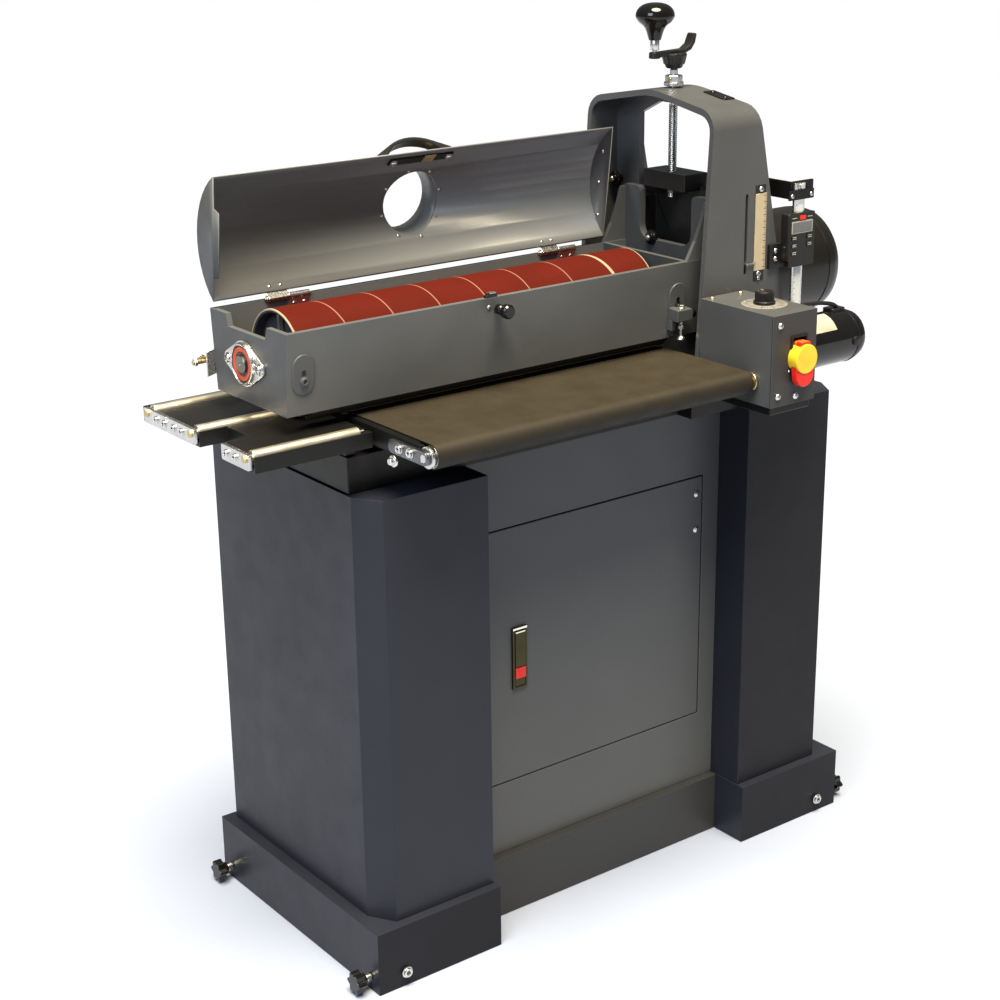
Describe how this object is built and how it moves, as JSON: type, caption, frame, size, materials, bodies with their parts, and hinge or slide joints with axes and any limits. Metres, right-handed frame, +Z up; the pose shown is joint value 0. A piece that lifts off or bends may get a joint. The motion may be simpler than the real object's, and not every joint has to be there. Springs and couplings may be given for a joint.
{
  "type": "drum sander",
  "caption": "Floor-standing open-end drum sander with conveyor feed, hand-cranked head, dust hood open, on a cabinet stand with door.",
  "frame": {"origin": "middle of the machine's plan, on the floor", "axes": "+X along the drum from its open end to the motor, -Y towards the infeed side where the operator stands, +Z up"},
  "size_m": [1.168, 0.598, 1.362],
  "materials": {
    "cabinet_paint": "dark blue-grey semi-gloss paint",
    "black_paint": "semi-gloss black paint",
    "zinc_plate": "bright zinc plate",
    "belt_abrasive": "brown-black abrasive conveyor cloth",
    "casting_paint": "blue-grey semi-gloss paint over a fine casting texture",
    "black_plastic": "gloss black moulding",
    "cable_sheath": "matt black sheath",
    "cream_plate": "cream printed scale",
    "latch_steel": "yellow-passivated steel",
    "red_plastic": "gloss red moulding",
    "drum_abrasive": "aluminium tube under a red-brown abrasive wrap",
    "roller_rubber": "matt black rubber",
    "wheel_rubber": "hard black tyre"
  },
  "bodies": {
    "stand": {"left_pedestal": "cabinet_paint", "right_pedestal": "cabinet_paint", "left_plinth": "cabinet_paint", "right_plinth": "cabinet_paint", "centre_plinth": "cabinet_paint", "front_frame": "cabinet_paint", "back_panel": "cabinet_paint", "machine_base": "black_paint", "side_table": "black_paint", "front_idler_bracket": "zinc_plate", "middle_idler_bracket": "zinc_plate", "rear_idler_bracket": "zinc_plate", "conveyor_bed": "black_paint", "conveyor_belt": "belt_abrasive", "front_takeup": "zinc_plate", "rear_takeup": "zinc_plate", "control_box": "casting_paint", "switch_body": "black_plastic", "feed_motor": "black_paint", "feed_motor_cable": "cable_sheath", "column": "casting_paint", "screw_collar": "zinc_plate", "depth_readout": "black_plastic", "scale_plate": "cream_plate"},
    "cabinet_door": {"door": "cabinet_paint", "latch_body": "latch_steel"},
    "door_lever": {"latch_lever": "latch_steel"},
    "door_button": {"latch_button": "red_plastic"},
    "feed_roller": {"drive_roller": "zinc_plate"},
    "idle_roller": {"tail_roller": "zinc_plate"},
    "speed_control": {"speed_knob": "black_plastic"},
    "stop_paddle": {"switch_paddle": "red_plastic"},
    "sanding_head": {"drum_housing": "casting_paint", "drum_bearing": "zinc_plate", "motor_mount": "black_paint", "drum_motor": "black_paint", "readout_arm": "black_paint", "readout_beam": "zinc_plate", "depth_pointer": "zinc_plate"},
    "height_crank": {"lead_screw": "zinc_plate", "crank_arm": "black_paint"},
    "crank_grip": {"crank_knob": "black_plastic"},
    "sanding_drum": {"drum": "drum_abrasive"},
    "infeed_presser": {"infeed_pressure_roller": "roller_rubber"},
    "outfeed_presser": {"outfeed_pressure_roller": "roller_rubber"},
    "dust_hood": {"hood": "casting_paint", "hood_port": "casting_paint", "hood_handle": "black_plastic"},
    "hood_catch": {"pull_knob": "black_plastic"},
    "front_left_roller": {"front_left_wheel": "wheel_rubber"},
    "front_right_roller": {"front_right_wheel": "wheel_rubber"},
    "rear_left_roller": {"rear_left_wheel": "wheel_rubber"},
    "rear_right_roller": {"rear_right_wheel": "wheel_rubber"},
    "front_left_brake": {"front_left_brake_knob": "black_plastic"},
    "front_right_brake": {"front_right_brake_knob": "black_plastic"},
    "rear_left_brake": {"rear_left_brake_knob": "black_plastic"},
    "rear_right_brake": {"rear_right_brake_knob": "black_plastic"},
    "front_idler": {"front_idler_roller": "zinc_plate"},
    "middle_idler": {"middle_idler_roller": "zinc_plate"},
    "rear_idler": {"rear_idler_roller": "zinc_plate"}
  },
  "joints": [
    {"name": "door_hinge", "type": "hinge", "parent": "stand", "child": "cabinet_door", "pos_m": [0.2531, -0.0822, 0.428], "axis": [0, 0, 1], "range_deg": [0, 110]},
    {"name": "latch_lever_hinge", "type": "hinge", "parent": "cabinet_door", "child": "door_lever", "pos_m": [-0.114, -0.0852, 0.4645], "axis": [-1, 0, 0], "range_deg": [0, 60], "stiffness_Nm_per_rad": 0.02, "springref_deg": -20.05},
    {"name": "latch_button_press", "type": "slide", "parent": "cabinet_door", "child": "door_button", "axis": [0, 1, 0], "range_m": [0, 0.002], "stiffness_N_per_m": 300, "springref_m": -0.002},
    {"name": "front_left_wheel_spin", "type": "hinge", "parent": "stand", "child": "front_left_roller", "pos_m": [-0.3898, -0.1382, 0.024], "axis": [0, 1, 0], "continuous": true},
    {"name": "front_right_wheel_spin", "type": "hinge", "parent": "stand", "child": "front_right_roller", "pos_m": [0.468, -0.1382, 0.024], "axis": [0, 1, 0], "continuous": true},
    {"name": "rear_left_wheel_spin", "type": "hinge", "parent": "stand", "child": "rear_left_roller", "pos_m": [-0.3898, 0.27, 0.024], "axis": [0, 1, 0], "continuous": true},
    {"name": "rear_right_wheel_spin", "type": "hinge", "parent": "stand", "child": "rear_right_roller", "pos_m": [0.468, 0.27, 0.024], "axis": [0, 1, 0], "continuous": true},
    {"name": "front_left_brake_turn", "type": "hinge", "parent": "stand", "child": "front_left_brake", "pos_m": [-0.4668, -0.1382, 0.021], "axis": [-1, 0, 0], "range_deg": [0, 360]},
    {"name": "front_right_brake_turn", "type": "hinge", "parent": "stand", "child": "front_right_brake", "pos_m": [0.545, -0.1382, 0.021], "axis": [1, 0, 0], "range_deg": [0, 360]},
    {"name": "rear_left_brake_turn", "type": "hinge", "parent": "stand", "child": "rear_left_brake", "pos_m": [-0.4668, 0.27, 0.021], "axis": [-1, 0, 0], "range_deg": [0, 360]},
    {"name": "rear_right_brake_turn", "type": "hinge", "parent": "stand", "child": "rear_right_brake", "pos_m": [0.545, 0.27, 0.021], "axis": [1, 0, 0], "range_deg": [0, 360]},
    {"name": "front_idler_spin", "type": "hinge", "parent": "stand", "child": "front_idler", "pos_m": [-0.4875, -0.119, 0.8445], "axis": [1, 0, 0], "continuous": true},
    {"name": "middle_idler_spin", "type": "hinge", "parent": "stand", "child": "middle_idler", "pos_m": [-0.4875, 0.0265, 0.8445], "axis": [1, 0, 0], "continuous": true},
    {"name": "rear_idler_spin", "type": "hinge", "parent": "stand", "child": "rear_idler", "pos_m": [-0.4875, 0.1525, 0.8445], "axis": [1, 0, 0], "continuous": true},
    {"name": "drive_roller_spin", "type": "hinge", "parent": "stand", "child": "feed_roller", "pos_m": [-0.096, -0.2445, 0.8365], "axis": [1, 0, 0], "continuous": true},
    {"name": "tail_roller_spin", "type": "hinge", "parent": "stand", "child": "idle_roller", "pos_m": [-0.096, 0.2815, 0.8365], "axis": [1, 0, 0], "continuous": true},
    {"name": "speed_knob_turn", "type": "hinge", "parent": "stand", "child": "speed_control", "pos_m": [0.248, -0.2165, 0.94], "axis": [0, 0, -1], "range_deg": [0, 300]},
    {"name": "stop_paddle_tilt", "type": "hinge", "parent": "stand", "child": "stop_paddle", "pos_m": [0.254, -0.2785, 0.89], "axis": [-1, 0, 0], "range_deg": [0, 20]},
    {"name": "head_lift", "type": "slide", "parent": "stand", "child": "sanding_head", "axis": [0, 0, 1], "range_m": [-0.004, 0.095]},
    {"name": "crank_turn", "type": "hinge", "parent": "stand", "child": "height_crank", "pos_m": [0.273, 0.0185, 1.28], "axis": [0, 0, 1], "range_deg": [-740, 17200]},
    {"name": "crank_knob_spin", "type": "hinge", "parent": "height_crank", "child": "crank_grip", "pos_m": [0.233, 0.0185, 1.32], "axis": [0, 0, 1], "continuous": true},
    {"name": "drum_spin", "type": "hinge", "parent": "sanding_head", "child": "sanding_drum", "pos_m": [0.005, 0.0185, 0.9285], "axis": [1, 0, 0], "continuous": true},
    {"name": "infeed_presser_spin", "type": "hinge", "parent": "sanding_head", "child": "infeed_presser", "pos_m": [-0.135, -0.0605, 0.869], "axis": [1, 0, 0], "continuous": true},
    {"name": "outfeed_presser_spin", "type": "hinge", "parent": "sanding_head", "child": "outfeed_presser", "pos_m": [-0.135, 0.0805, 0.869], "axis": [1, 0, 0], "continuous": true},
    {"name": "hood_hinge", "type": "hinge", "parent": "sanding_head", "child": "dust_hood", "pos_m": [0.005, 0.1005, 0.991], "axis": [1, 0, 0], "range_deg": [0, 83.5]},
    {"name": "hood_catch_pull", "type": "slide", "parent": "sanding_head", "child": "hood_catch", "axis": [0, -1, 0], "range_m": [0, 0.008], "stiffness_N_per_m": 400, "springref_m": -0.004}
  ],
  "couplings": [
    {"joint": "tail_roller_spin", "follows": "drive_roller_spin", "ratio": 1},
    {"joint": "crank_turn", "follows": "head_lift", "rad_per_m": 3141.6}
  ]
}
